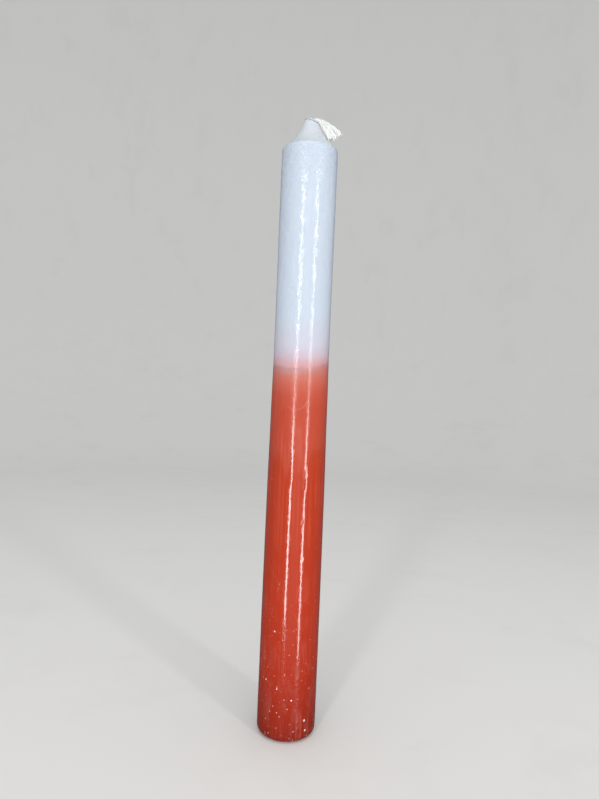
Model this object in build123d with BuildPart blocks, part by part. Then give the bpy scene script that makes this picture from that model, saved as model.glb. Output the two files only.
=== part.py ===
"""Two-tone dinner candle with a plaited cotton wick.

The candle stands on its foot: +Z runs up its axis, and the origin is the centre of the foot's flat face.
White wax was drawn round a wick plaited from three cotton strands, and a concave neck was milled at the top.
The lower part was then dipped twice in red wax, the second time less deep, so two thin skins wrap the foot.
All sizes are in millimetres.
"""

import os
from math import cos, pi, radians, sin, tan

from build123d import *

# ---- Driving sizes ------------------------------------------------------------------------------
core_diameter = 22.0  # the white stock, a standard candlestick size
shoulder_height = 228.3  # foot face to the sharp shoulder
neck_height = 0.55 * core_diameter  # shoulder to the mouth's middle, on the axis
neck_sweep_radius = 24.0  # concave flank of the milled neck
neck_tip_wall = 1.075  # wax left round the channel where the flank ends
neck_spare_height = 1.2  # that the flank is drawn on past the mouth's middle, before the mouth is cut
mouth_slope = 20.0  # degrees; the mouth is lower on the side that the wick leaves by
mouth_round = 0.5
foot_round = 2.45  # rounded rim of the white stock's foot
wick_side = 0.0  # degrees from +X about +Z; the wick bends over to this side

first_dip_thickness = 0.18
first_dip_line = 146.7  # height of its upper edge on the axis
first_dip_feather = 22.0  # length over which the skin thins out towards that edge
second_dip_thickness = 0.27
second_dip_line = 118.0
holder_band = 25.0  # straight stretch above the rounded rim, which a candlestick grips
feather_edge = 0.06  # thickness left at a skin's upper edge
dip_slope = 12.0  # degrees; the candle hung out of plumb, so the edges run lower at the front
dip_side = -75.0  # degrees from +X about +Z; the side where the edges are lowest

strand_diameter = core_diameter / 27.5  # a wick is chosen by the candle's thickness
strand_spread = 1.125 * strand_diameter  # widest swing of a plaited strand's centre, across the flat
strand_lift = 0.7 * strand_diameter  # the same, through the plait's thickness
plait_pitch = 20 * strand_diameter  # length in which a strand swings to both edges and back
plait_points = 12  # points of a strand's route in each pitch
plait_drop = 2.625 * strand_diameter  # plaited up to here below the mouth's middle, loose beyond
channel_clearance = 0.075  # round the plait, in the wax
wick_end_clearance = 0.4  # under the wick's lower end
frayed_diameter = 2.025 * strand_diameter  # a strand's fluffed free end
fray_sections = 9  # round sections that the fluffed end is drawn through
run_share = 0.45  # share of the shorter run beside a corner that its bend takes up
drawn_strand = 0.8  # strand diameter that the free ends below are drawn for; they grow with the strands
drawn_neck = 0.55  # neck height over core diameter that they are drawn for; a lower neck makes them fall less

# Each strand's free end: out along wick_side, across it, and up from the mouth's middle.
free_ends = {
    "outer": (
        (-0.75, 0.5, -0.1),
        (-0.1, 0.8, 1.2),
        (2.3, 0.95, 1.45),
        (4.9, 0.8, 0.5),
        (7.2, 0.65, -1.0),
        (9.6, 0.4, -2.75),
        (11.2, 0.25, -4.8),
    ),
    "middle": (
        (0.05, 0.05, 0.0),
        (0.88, 0.0, 0.88),
        (2.6, -0.1, 0.75),
        (4.7, -0.05, -0.65),
        (6.5, 0.0, -2.3),
        (8.2, 0.0, -4.2),
        (9.6, 0.05, -6.3),
    ),
    "inner": (
        (0.85, -0.45, -0.1),
        (1.9, -0.95, 0.4),
        (3.3, -1.0, -0.35),
        (4.5, -0.85, -1.9),
        (5.6, -0.6, -3.4),
        (6.7, -0.3, -5.05),
        (7.8, -0.2, -6.9),
    ),
}

# ---- Sizes that follow --------------------------------------------------------------------------
core_radius = core_diameter / 2
core_foot = first_dip_thickness + second_dip_thickness
first_dip_radius = core_radius + first_dip_thickness
coat_radius = first_dip_radius + second_dip_thickness
coat_round = foot_round + core_foot  # rounded rim of the finished foot
channel_radius = strand_spread + strand_diameter / 2 + channel_clearance
wick_foot = core_foot + wick_end_clearance
mouth_height = shoulder_height + neck_height
neck_tip_radius = channel_radius + neck_tip_wall
sweep_top = mouth_height + neck_spare_height
plait_top = mouth_height - plait_drop
free_end_scale = strand_diameter / drawn_strand
fall_scale = free_end_scale * neck_height / (drawn_neck * core_diameter)
wick_direction = Vector(cos(radians(wick_side)), sin(radians(wick_side)), 0)
wick_across = Vector(-wick_direction.Y, wick_direction.X, 0)


def sloped_plane(height, slope, side):
    """A plane across the axis at a height, which falls by slope degrees towards one side."""
    rise = tan(radians(slope))
    normal = Vector(rise * cos(radians(side)), rise * sin(radians(side)), 1)
    return Plane(origin=(0, 0, height), z_dir=normal)


def rise_across(radius, slope):
    """How far a sloped cut climbs above its height on the axis, at a radius."""
    return radius * tan(radians(slope))


# ---- White wax body -----------------------------------------------------------------------------
with BuildPart() as wax_core:
    with BuildSketch(Plane.XZ):
        with BuildLine():
            Line((channel_radius, core_foot), (core_radius - foot_round, core_foot))
            RadiusArc(
                (core_radius - foot_round, core_foot),
                (core_radius, core_foot + foot_round),
                -foot_round,
            )
            Line((core_radius, core_foot + foot_round), (core_radius, shoulder_height))
            RadiusArc(
                (core_radius, shoulder_height),
                (neck_tip_radius, sweep_top),
                neck_sweep_radius,
            )
            Line((neck_tip_radius, sweep_top), (channel_radius, sweep_top))
            Line((channel_radius, sweep_top), (channel_radius, core_foot))
        make_face()
    revolve(axis=Axis.Z)
    mouth_plane = sloped_plane(mouth_height, mouth_slope, wick_side)
    split(bisect_by=mouth_plane, keep=Keep.BOTTOM)
    mouth_face = wax_core.faces().filter_by(lambda f: f.normal_at().dot(mouth_plane.z_dir) > 0.999)[0]
    fillet(mouth_face.outer_wire().edges(), mouth_round)
wax_core.part.label = "wax_core"


# ---- Red skins ----------------------------------------------------------------------------------
def skin_profile(inner_radius, inner_foot, inner_round, thickness, full_to, edge_at):
    """Half section of a dipped skin: full thickness up to one height, thinning to its edge above it."""
    outer_radius = inner_radius + thickness
    outer_foot = inner_foot - thickness
    outer_round = inner_round + thickness
    with BuildLine() as outline:
        Line((0, outer_foot), (outer_radius - outer_round, outer_foot))
        RadiusArc(
            (outer_radius - outer_round, outer_foot),
            (outer_radius, outer_foot + outer_round),
            -outer_round,
        )
        Line((outer_radius, outer_foot + outer_round), (outer_radius, full_to))
        TangentArc(
            (outer_radius, full_to),
            (inner_radius + feather_edge, edge_at),
            tangent=(0, 1),
        )
        Line((inner_radius + feather_edge, edge_at), (inner_radius, edge_at))
        Line((inner_radius, edge_at), (inner_radius, inner_foot + inner_round))
        RadiusArc(
            (inner_radius, inner_foot + inner_round),
            (inner_radius - inner_round, inner_foot),
            inner_round,
        )
        Line((inner_radius - inner_round, inner_foot), (0, inner_foot))
        Line((0, inner_foot), (0, outer_foot))
    return outline.line


first_dip_top = first_dip_line + rise_across(first_dip_radius, dip_slope)
with BuildPart() as first_dip:
    with BuildSketch(Plane.XZ):
        with BuildLine():
            add(
                skin_profile(
                    core_radius,
                    core_foot,
                    foot_round,
                    first_dip_thickness,
                    first_dip_top - first_dip_feather,
                    first_dip_top,
                )
            )
        make_face()
    revolve(axis=Axis.Z)
    split(bisect_by=sloped_plane(first_dip_line, dip_slope, dip_side), keep=Keep.BOTTOM)
first_dip.part.label = "red_first_dip"

second_dip_top = second_dip_line + rise_across(coat_radius, dip_slope)
with BuildPart() as second_dip:
    with BuildSketch(Plane.XZ):
        with BuildLine():
            add(
                skin_profile(
                    first_dip_radius,
                    second_dip_thickness,
                    foot_round + first_dip_thickness,
                    second_dip_thickness,
                    coat_round + holder_band,
                    second_dip_top,
                )
            )
        make_face()
    revolve(axis=Axis.Z)
    split(bisect_by=sloped_plane(second_dip_line, dip_slope, dip_side), keep=Keep.BOTTOM)
second_dip.part.label = "red_second_dip"


# ---- Wick: three plaited strands, which lie loose and frayed beyond the neck --------------------
strand_phases = {"outer": 4 * pi / 3, "middle": 0.0, "inner": 2 * pi / 3}
plait_steps = round((plait_top - wick_foot) / plait_pitch * plait_points)


def wick_point(out, across, height):
    """A point from its distance out along the wick's side, across it, and up."""
    return wick_direction * out + wick_across * across + Vector(0, 0, height)


def free_end_point(out, across, up):
    """A point of a free end, at the wick's own scale from the middle of the mouth."""
    rise = up * (free_end_scale if up > 0 else fall_scale)
    return wick_point(out * free_end_scale, across * free_end_scale, mouth_height + rise)


def plait_point(phase, height):
    """Centre of a plaited strand at a height; its phase is reached at the top of the plait."""
    turn = phase + 2 * pi * (height - plait_top) / plait_pitch
    return wick_point(strand_spread * sin(turn), strand_lift * sin(2 * turn), height)


def bend_radii(points):
    """The largest radius that each corner's two runs leave room for."""
    radii = []
    for before, corner, after in zip(points, points[1:], points[2:]):
        arriving, leaving = corner - before, after - corner
        half_turn = radians(arriving.get_angle(leaving)) / 2
        radii.append(run_share * min(arriving.length, leaving.length) / tan(half_turn))
    return radii


wick_strands = []
for name, phase in strand_phases.items():
    climb = (plait_top - wick_foot) / plait_steps
    plait = [plait_point(phase, wick_foot + climb * i) for i in range(plait_steps + 1)]
    free = [free_end_point(*place) for place in free_ends[name]]
    fray_start = (free[0] + free[1]) / 2
    plait_route = [*plait, free[0], fray_start]
    fray_route = [fray_start, *free[1:]]
    print(name, "tightest bends", min(bend_radii(plait_route)), min(bend_radii(fray_route)))
    with BuildPart() as strand:
        with BuildLine() as line:
            FilletPolyline(*plait_route, radius=bend_radii(plait_route))
        with BuildSketch(Plane(origin=line.line @ 0, z_dir=line.line % 0)):
            Circle(strand_diameter / 2)
        sweep()
        with BuildLine() as line:
            FilletPolyline(*fray_route, radius=bend_radii(fray_route))
        for i in range(fray_sections):
            along = i / (fray_sections - 1)
            with BuildSketch(Plane(origin=line.line @ along, z_dir=line.line % along)):
                Circle((strand_diameter + (frayed_diameter - strand_diameter) * along) / 2)
        loft()
    strand.part.label = f"wick_strand_{name}"
    wick_strands.append(strand)

os.makedirs("parts", exist_ok=True)
for piece in (wax_core, first_dip, second_dip, *wick_strands):
    export_step(piece.part, f"parts/{piece.part.label}.step")
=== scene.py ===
"""Looks of a two-tone dipped candle: white wax stock, two red wax skins and a plaited cotton wick.

Each sub-assembly is a class that reads its sizes from the frame, builds its meshes and dresses them.
Lengths are in metres, in the frame's axes: +Z runs up the candle, from the middle of its foot.
"""

import logging
import math
import random
from dataclasses import dataclass, field
from enum import Enum

import bmesh
import bpy
from mathutils import Matrix, Vector, noise


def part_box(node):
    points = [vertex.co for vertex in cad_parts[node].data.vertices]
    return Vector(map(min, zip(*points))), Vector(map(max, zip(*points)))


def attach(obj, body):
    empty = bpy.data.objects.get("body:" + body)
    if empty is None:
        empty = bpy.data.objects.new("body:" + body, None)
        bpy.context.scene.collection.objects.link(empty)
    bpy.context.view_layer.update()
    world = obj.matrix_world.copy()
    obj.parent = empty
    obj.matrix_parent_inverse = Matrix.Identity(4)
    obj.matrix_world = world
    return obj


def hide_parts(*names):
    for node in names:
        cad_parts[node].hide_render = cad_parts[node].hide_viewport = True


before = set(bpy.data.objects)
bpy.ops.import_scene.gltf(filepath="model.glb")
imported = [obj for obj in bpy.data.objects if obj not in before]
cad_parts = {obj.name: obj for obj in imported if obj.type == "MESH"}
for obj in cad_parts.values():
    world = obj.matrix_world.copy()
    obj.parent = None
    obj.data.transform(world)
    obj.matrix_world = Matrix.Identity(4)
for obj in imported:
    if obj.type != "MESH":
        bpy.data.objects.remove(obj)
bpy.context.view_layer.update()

MM = 0.001
BODY = "root"
log = logging.getLogger("candle")

Colour = tuple[float, float, float]


# ---------------------------------------------------------------------------------------------
# Small helpers
# ---------------------------------------------------------------------------------------------
def srgb(red: int, green: int, blue: int) -> Colour:
    """Gives the linear colour of a screen colour.

    Args:
        red: Red, from 0 to 255.
        green: Green, from 0 to 255.
        blue: Blue, from 0 to 255.

    Returns:
        The colour in linear light.
    """

    def linear(level: int) -> float:
        share = level / 255
        return share / 12.92 if share <= 0.04045 else ((share + 0.055) / 1.055) ** 2.4

    return linear(red), linear(green), linear(blue)


def smooth_step(low: float, high: float, value: float) -> float:
    """Rises smoothly from 0 at low to 1 at high.

    Args:
        low: Where the rise begins.
        high: Where the rise ends.
        value: The place asked for.

    Returns:
        A share from 0 to 1.
    """
    share = min(max((value - low) / (high - low), 0.0), 1.0)
    return share * share * (3.0 - 2.0 * share)


def noise_shift(place: Vector) -> Vector:
    """Reads soft noise as a vector, the same in each run.

    Args:
        place: Where in the noise.

    Returns:
        A vector whose parts lie between -1 and 1.
    """
    return Vector([noise.noise(place + Vector((0.0, 0.0, 17.0 * axis))) for axis in range(3)])


def link_mesh(name: str, mesh: bpy.types.Mesh) -> bpy.types.Object:
    """Puts a mesh in the scene as an object at the origin.

    Args:
        name: The object's name.
        mesh: Its mesh, already in place.

    Returns:
        The new object.
    """
    mesh.name = name
    piece = bpy.data.objects.new(name, mesh)
    bpy.context.scene.collection.objects.link(piece)
    return piece


def link_shape(name: str, shape: bmesh.types.BMesh, material: bpy.types.Material) -> bpy.types.Object:
    """Turns a bmesh into an object at the origin with one material, and frees it.

    Args:
        name: The object's name.
        shape: The finished bmesh.
        material: The material of all its faces.

    Returns:
        The new object.
    """
    mesh = bpy.data.meshes.new(name)
    shape.to_mesh(mesh)
    shape.free()
    mesh.materials.append(material)
    return link_mesh(name, mesh)


def crease(shape: bmesh.types.BMesh, limit: float = math.radians(32.0)) -> None:
    """Shades edges sharp where two faces meet at more than a limit angle.

    Args:
        shape: The bmesh, with its normals settled.
        limit: The largest angle that still shades smooth.
    """
    for edge in shape.edges:
        if edge.is_manifold and edge.calc_face_angle() > limit:
            edge.smooth = False


def evaluated_mesh(source: bpy.types.Object) -> bpy.types.Mesh:
    """Gives an object's mesh with its modifiers applied, and removes the object.

    Args:
        source: A mesh or curve object in the scene.

    Returns:
        A mesh of its own.
    """
    graph = bpy.context.evaluated_depsgraph_get()
    mesh = bpy.data.meshes.new_from_object(source.evaluated_get(graph))
    bpy.data.objects.remove(source)
    return mesh


# ---------------------------------------------------------------------------------------------
# Sizes that every sub-assembly shares
# ---------------------------------------------------------------------------------------------
@dataclass(frozen=True)
class CandleSizes:
    """The frame's sizes of the wax, with the dips' slope."""

    core_radius: float
    skin_radius: float
    coat_radius: float
    core_foot: float
    skin_foot: float
    shoulder: float
    first_edge_top: float
    second_edge_top: float
    foot_round: float = 2.45 * MM
    dip_slope: float = math.radians(17.0)
    dip_side: float = math.radians(-104.0)

    @classmethod
    def from_frame(cls) -> "CandleSizes":
        """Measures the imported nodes."""
        core_low, core_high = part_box("wax_core")
        first_low, first_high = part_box("red_first_dip")
        _, second_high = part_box("red_second_dip")
        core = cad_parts["wax_core"].data
        full_width = [v.co.z for v in core.vertices if v.co.xy.length > 0.999 * core_high.x]
        return cls(
            core_radius=core_high.x,
            skin_radius=first_high.x,
            coat_radius=second_high.x,
            core_foot=core_low.z,
            skin_foot=first_low.z,
            shoulder=max(full_width),
            first_edge_top=first_high.z,
            second_edge_top=second_high.z,
        )

    def edge_height(self, edge_top: float, angle: float) -> float:
        """Gives the height of a sloped dip line.

        Args:
            edge_top: The line's highest point.
            angle: The angle round the axis, from +X.

        Returns:
            The line's height at that angle.
        """
        swing = self.core_radius * math.tan(self.dip_slope)
        return edge_top - swing * (1.0 + math.cos(angle - self.dip_side))


@dataclass(frozen=True)
class Wave:
    """One layer of soft waves: how deep, how many round the candle, how long, and where in the noise."""

    depth: float
    turns: float
    length: float
    seed: tuple[float, float] = (0.0, 0.0)

    def lift(self, across: Vector, height: float) -> float:
        """Gives the wave's radial shift.

        Args:
            across: Unit vector from the axis.
            height: The height up the candle.

        Returns:
            The shift in metres.
        """
        return self.depth * noise.noise(across * self.turns + Vector((*self.seed, height / self.length)))


@dataclass(frozen=True)
class WaxSurface:
    """The hand-made unevenness that the stock and both skins share."""

    waist_height: float = 151.0 * MM
    waist_reach: float = 38.0 * MM
    waist_depth: float = 0.13 * MM
    waves: tuple[Wave, ...] = (
        Wave(0.035 * MM, 1.6, 55 * MM),
        Wave(0.011 * MM, 3.4, 9 * MM, (7, 3)),
        Wave(0.02 * MM, 2.6, 5.5 * MM, (5, 1)),
    )
    ripple: Wave = Wave(0.1 * MM, 4.6, 1.9 * MM, (2, 9))
    ripple_rise: tuple[float, float] = (148.0 * MM, 196.0 * MM)
    ripple_below: float = 0.07

    def lift(self, angle: float, height: float) -> float:
        """Gives how far the surface stands out from the plain cylinder.

        Args:
            angle: The angle round the axis.
            height: The height up the candle.

        Returns:
            The radial shift in metres, less than zero for a hollow.
        """
        across = Vector((math.cos(angle), math.sin(angle), 0.0))
        rippled = self.ripple_below + (1.0 - self.ripple_below) * smooth_step(*self.ripple_rise, height)
        waist = math.exp(-(((height - self.waist_height) / self.waist_reach) ** 2))
        waved = sum(wave.lift(across, height) for wave in self.waves)
        return waved + rippled * self.ripple.lift(across, height) - self.waist_depth * waist


@dataclass(frozen=True)
class Blemish:
    """A pit, a bubble or a run on the wax: a soft round mark that goes in or out."""

    angle: float
    height: float
    width: float
    length: float
    depth: float

    def lift(self, angle: float, height: float, radius: float) -> float:
        """Gives the mark's height at a place on the surface.

        Args:
            angle: The angle round the axis.
            height: The height up the candle.
            radius: The surface's radius.

        Returns:
            The radial shift in metres.
        """
        turn = math.remainder(angle - math.radians(self.angle), math.tau)
        across = turn * radius / (self.width * MM)
        along = (height - self.height * MM) / (self.length * MM)
        return -self.depth * MM * math.exp(-(across * across + along * along) * 2.5)


class Outline:
    """Half a section, drawn as a line of points with straight runs and arcs."""

    def __init__(self, radius: float, height: float) -> None:
        """Starts the outline at a radius and a height."""
        self.points: list[tuple[float, float]] = [(radius, height)]

    def line(self, radius: float, height: float, spacing: float) -> "Outline":
        """Adds a straight run.

        Args:
            radius: Radius of the run's end.
            height: Height of the run's end.
            spacing: Longest step between two points.

        Returns:
            The outline itself.
        """
        start_radius, start_height = self.points[-1]
        length = math.hypot(radius - start_radius, height - start_height)
        steps = max(1, math.ceil(length / spacing))
        for step in range(1, steps + 1):
            share = step / steps
            place = start_radius + (radius - start_radius) * share, start_height + (height - start_height) * share
            self.points.append(place)
        return self

    def arc(self, centre: tuple[float, float], turn: float, steps: int) -> "Outline":
        """Adds an arc about a centre.

        Args:
            centre: Radius and height of the arc's centre.
            turn: Angle turned through, less than zero for clockwise.
            steps: Number of points added.

        Returns:
            The outline itself.
        """
        out = self.points[-1][0] - centre[0]
        up = self.points[-1][1] - centre[1]
        for step in range(1, steps + 1):
            angle = turn * step / steps
            self.points.append(
                (
                    centre[0] + out * math.cos(angle) - up * math.sin(angle),
                    centre[1] + out * math.sin(angle) + up * math.cos(angle),
                )
            )
        return self

    def round_corner(self, corner: Vector, reach: float, steps: int) -> "Outline":
        """Rounds a corner with a smooth bend between two points at equal reach from it.

        Args:
            corner: Radius and height of the corner.
            reach: How far the bend reaches along both sides.
            steps: Number of points in the bend.

        Returns:
            The outline itself.
        """
        places = [Vector(point) for point in self.points]
        near = [index for index, place in enumerate(places) if (place - corner).length < reach]
        first, last = places[near[0] - 1], places[near[-1] + 1]
        start = corner + (first - corner).normalized() * reach
        end = corner + (last - corner).normalized() * reach
        bend = []
        for step in range(steps + 1):
            share = step / steps
            place = start * (1 - share) ** 2 + corner * 2 * share * (1 - share) + end * share**2
            bend.append(tuple(place))
        self.points[near[0] : near[-1] + 1] = bend
        return self

    def spun(self, segments: int) -> bmesh.types.BMesh:
        """Turns the outline round the axis into a closed surface.

        Args:
            segments: Number of segments in the turn.

        Returns:
            A new bmesh with its normals outwards.
        """
        shape = bmesh.new()
        verts = [shape.verts.new((radius, 0.0, height)) for radius, height in self.points]
        edges = [shape.edges.new(pair) for pair in zip(verts, verts[1:])]
        bmesh.ops.spin(
            shape,
            geom=verts + edges,
            cent=(0, 0, 0),
            axis=(0, 0, 1),
            angle=math.tau,
            steps=segments,
            use_merge=True,
        )
        bmesh.ops.remove_doubles(shape, verts=shape.verts, dist=1e-7)
        bmesh.ops.recalc_face_normals(shape, faces=shape.faces)
        for face in shape.faces:
            face.smooth = True
        return shape


# ---------------------------------------------------------------------------------------------
# Shader groups
# ---------------------------------------------------------------------------------------------
class Tree:
    """A node tree that is filled from left to right."""

    def __init__(self, tree: bpy.types.NodeTree) -> None:
        """Wraps an empty tree."""
        self.tree = tree
        self.column = 0

    def add(self, kind: str, settings: dict | None = None, inputs: dict | None = None) -> bpy.types.Node:
        """Adds a node.

        Args:
            kind: The node's type name.
            settings: The node's own properties.
            inputs: Sockets by name or number: a value, or the socket to link from.

        Returns:
            The new node.
        """
        node = self.tree.nodes.new(kind)
        node.location = (self.column * 180, -(self.column % 4) * 160)
        self.column += 1
        for key, value in (settings or {}).items():
            setattr(node, key, value)
        for key, value in (inputs or {}).items():
            socket = node.inputs[key]
            if isinstance(value, bpy.types.NodeSocket):
                self.tree.links.new(value, socket)
            else:
                socket.default_value = value
        return node

    def math(self, operation: str, *values: object) -> bpy.types.NodeSocket:
        """Adds a Math node on numbers or sockets and gives its output."""
        inputs = dict(enumerate(values))
        return self.add("ShaderNodeMath", {"operation": operation}, inputs).outputs[0]

    def plus(self, first: object, second: object) -> bpy.types.NodeSocket:
        """Adds a sum and gives its output."""
        return self.math("ADD", first, second)

    def minus(self, first: object, second: object) -> bpy.types.NodeSocket:
        """Adds a difference and gives its output."""
        return self.math("SUBTRACT", first, second)

    def times(self, first: object, second: object) -> bpy.types.NodeSocket:
        """Adds a product and gives its output."""
        return self.math("MULTIPLY", first, second)

    def ramp(self, value: bpy.types.NodeSocket, low: float, high: float) -> bpy.types.NodeSocket:
        """Adds a smooth 0 to 1 rise of a value between two limits and gives its output."""
        inputs = {"Value": value, "From Min": low, "From Max": high}
        return self.add("ShaderNodeMapRange", {"interpolation_type": "SMOOTHSTEP"}, inputs).outputs[0]

    def mix(self, share: object, first: object, second: object) -> bpy.types.NodeSocket:
        """Adds a colour mix and gives its output."""
        inputs = {0: share, 6: first, 7: second}
        return self.add("ShaderNodeMix", {"data_type": "RGBA"}, inputs).outputs[2]

    def noise(self, place: bpy.types.NodeSocket, scale: float, detail: float = 2.0) -> bpy.types.NodeSocket:
        """Adds a noise texture and gives its value."""
        inputs = {"Vector": place, "Scale": scale, "Detail": detail}
        return self.add("ShaderNodeTexNoise", None, inputs).outputs["Fac"]


def new_material(name: str) -> tuple[bpy.types.Material, Tree, bpy.types.NodeSocket]:
    """Makes a material that is empty but for its coordinates.

    Args:
        name: The material's name.

    Returns:
        The material, its node tree and the Object coordinates in it.
    """
    material = bpy.data.materials.new(name)
    material.use_nodes = True
    material.node_tree.nodes.clear()
    tree = Tree(material.node_tree)
    return material, tree, tree.add("ShaderNodeTexCoord").outputs["Object"]


class EffectGroup:
    """A shader group with named inputs and outputs, built once."""

    name = ""
    numbers: dict[str, float] = {}
    results: tuple[str, ...] = ()

    def __init__(self) -> None:
        """Makes the group and its sockets, then fills it."""
        self.group = bpy.data.node_groups.new(self.name, "ShaderNodeTree")
        self.group.interface.new_socket("Position", in_out="INPUT", socket_type="NodeSocketVector")
        for label, value in self.numbers.items():
            socket = self.group.interface.new_socket(label, in_out="INPUT", socket_type="NodeSocketFloat")
            socket.default_value = value
        for label in self.results:
            self.group.interface.new_socket(label, in_out="OUTPUT", socket_type="NodeSocketFloat")
        tree = Tree(self.group)
        source = tree.add("NodeGroupInput")
        outputs = self.fill(tree, source.outputs)
        tree.add("NodeGroupOutput", None, outputs)

    def fill(self, tree: Tree, given: bpy.types.NodeOutputs) -> dict[str, bpy.types.NodeSocket]:
        """Builds the group's nodes and gives its outputs by name."""
        raise NotImplementedError

    def place(self, tree: Tree, position: bpy.types.NodeSocket, **values: float) -> bpy.types.NodeOutputs:
        """Places the group in a material.

        Args:
            tree: The material's tree.
            position: Where on the piece, from its Object coordinates.
            **values: The group's own numbers, with underscores for spaces.

        Returns:
            The placed group's outputs.
        """
        inputs = {"Position": position}
        inputs.update({label.replace("_", " "): value for label, value in values.items()})
        return tree.add("ShaderNodeGroup", {"node_tree": self.group}, inputs).outputs


class StreakGroup(EffectGroup):
    """Fine lines that run along the candle, left by drawing and dripping wax; on the cotton they are painted light
    and shade of the fibres.
    """

    name = "lengthwise_streaks"
    numbers = {"Across": 900.0, "Along": 18.0, "Threshold": 0.5, "Softness": 0.2}
    results = ("Mask", "Height")

    def fill(self, tree: Tree, given: bpy.types.NodeOutputs) -> dict[str, bpy.types.NodeSocket]:
        """Builds noise that is stretched along the height."""
        scale = tree.add("ShaderNodeCombineXYZ", None, {0: given["Across"], 1: given["Across"], 2: given["Along"]})
        stretched = tree.add(
            "ShaderNodeVectorMath", {"operation": "MULTIPLY"}, {0: given["Position"], 1: scale.outputs[0]}
        )
        value = tree.noise(stretched.outputs[0], 1.0, 3.0)
        low = tree.minus(given["Threshold"], given["Softness"])
        high = tree.plus(given["Threshold"], given["Softness"])
        inputs = {"Value": value, "From Min": low, "From Max": high}
        mask = tree.add("ShaderNodeMapRange", {"interpolation_type": "SMOOTHSTEP"}, inputs)
        return {"Mask": mask.outputs[0], "Height": value}


class SpeckGroup(EffectGroup):
    """Small scattered specks, such as wax crumbs and pinholes."""

    name = "scattered_specks"
    numbers = {"Scale": 420.0, "Size": 0.12, "Share": 0.2}
    results = ("Mask",)

    def fill(self, tree: Tree, given: bpy.types.NodeOutputs) -> dict[str, bpy.types.NodeSocket]:
        """Keeps a share of the cells of a Voronoi pattern, each as one soft dot."""
        inputs = {"Vector": given["Position"], "Scale": given["Scale"]}
        cells = tree.add("ShaderNodeTexVoronoi", {"feature": "F1"}, inputs)
        dot = tree.add(
            "ShaderNodeMapRange",
            {"interpolation_type": "SMOOTHSTEP"},
            {"Value": cells.outputs["Distance"], "From Min": given["Size"], "From Max": 0.0},
        )
        split = tree.add("ShaderNodeSeparateColor", None, {0: cells.outputs["Color"]})
        kept = tree.math("LESS_THAN", split.outputs[0], given["Share"])
        return {"Mask": tree.times(dot.outputs[0], kept)}


class ScuffGroup(EffectGroup):
    """Cloudy rubbed patches with ragged edges, drawn out lengthwise and filled with dust."""

    name = "rubbed_scuffs"
    numbers = {"Scale": 120.0, "Coverage": 0.5, "Length": 2.0}
    results = ("Mask", "Dust")

    def fill(self, tree: Tree, given: bpy.types.NodeOutputs) -> dict[str, bpy.types.NodeSocket]:
        """Breaks up large soft patches with a finer noise."""
        squeeze = tree.add(
            "ShaderNodeCombineXYZ", None, {0: 1.0, 1: 1.0, 2: tree.math("DIVIDE", 1.0, given["Length"])}
        )
        drawn = tree.add(
            "ShaderNodeVectorMath", {"operation": "MULTIPLY"}, {0: given["Position"], 1: squeeze.outputs[0]}
        )
        inputs = {"Vector": drawn.outputs[0], "Scale": given["Scale"], "Detail": 7.0, "Roughness": 0.7}
        patches = tree.add("ShaderNodeTexNoise", None, inputs).outputs["Fac"]
        low = tree.minus(1.0, given["Coverage"])
        high = tree.plus(low, 0.2)
        inputs = {"Value": patches, "From Min": low, "From Max": high}
        mask = tree.add("ShaderNodeMapRange", {"interpolation_type": "SMOOTHSTEP"}, inputs).outputs[0]
        powder = tree.ramp(tree.noise(given["Position"], 2600.0, 3.0), 0.5, 0.72)
        return {"Mask": mask, "Dust": tree.times(mask, powder)}


class ScratchGroup(EffectGroup):
    """Hairline scratches that lean across the surface."""

    name = "leaning_scratches"
    numbers = {"Scale": 60.0, "Lean": 0.6, "Width": 0.012}
    results = ("Mask",)

    def fill(self, tree: Tree, given: bpy.types.NodeOutputs) -> dict[str, bpy.types.NodeSocket]:
        """Takes the thin borders of long leaning cells."""
        turn = tree.add("ShaderNodeCombineXYZ", None, {0: 0.15, 1: given["Lean"], 2: 0.1})
        turned = tree.add(
            "ShaderNodeVectorRotate",
            {"rotation_type": "EULER_XYZ"},
            {"Vector": given["Position"], "Rotation": turn.outputs[0]},
        )
        longer = tree.add(
            "ShaderNodeVectorMath", {"operation": "MULTIPLY"}, {0: turned.outputs[0], 1: (1.0, 1.0, 0.12)}
        )
        inputs = {"Vector": longer.outputs[0], "Scale": given["Scale"]}
        cells = tree.add("ShaderNodeTexVoronoi", {"feature": "DISTANCE_TO_EDGE"}, inputs)
        line = tree.add(
            "ShaderNodeMapRange",
            {"interpolation_type": "SMOOTHSTEP"},
            {"Value": cells.outputs["Distance"], "From Min": given["Width"], "From Max": 0.0},
        )
        broken = tree.ramp(tree.noise(given["Position"], 150.0), 0.52, 0.62)
        return {"Mask": tree.times(line.outputs[0], broken)}


@dataclass
class Effects:
    """The shared shader groups."""

    streaks: StreakGroup = field(default_factory=StreakGroup)
    specks: SpeckGroup = field(default_factory=SpeckGroup)
    scuffs: ScuffGroup = field(default_factory=ScuffGroup)
    scratches: ScratchGroup = field(default_factory=ScratchGroup)


# ---------------------------------------------------------------------------------------------
# Finishes
# ---------------------------------------------------------------------------------------------
DEPTH = "dip_depth"
COVER = "cover_depth"

# Colour by millimetres below the first dip line; wax above it is stained by the skin beneath.
DIP_COLOURS: tuple[tuple[float, Colour], ...] = (
    (-20.0, srgb(190, 199, 210)),
    (-8.0, srgb(193, 191, 201)),
    (-3.8, srgb(194, 177, 187)),
    (-0.8, srgb(197, 158, 160)),
    (1.0, srgb(202, 138, 133)),
    (2.9, srgb(201, 114, 101)),
    (6.0, srgb(196, 98, 80)),
    (11.0, srgb(187, 79, 58)),
    (17.0, srgb(183, 72, 50)),
    (60.0, srgb(182, 70, 48)),
)
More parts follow.
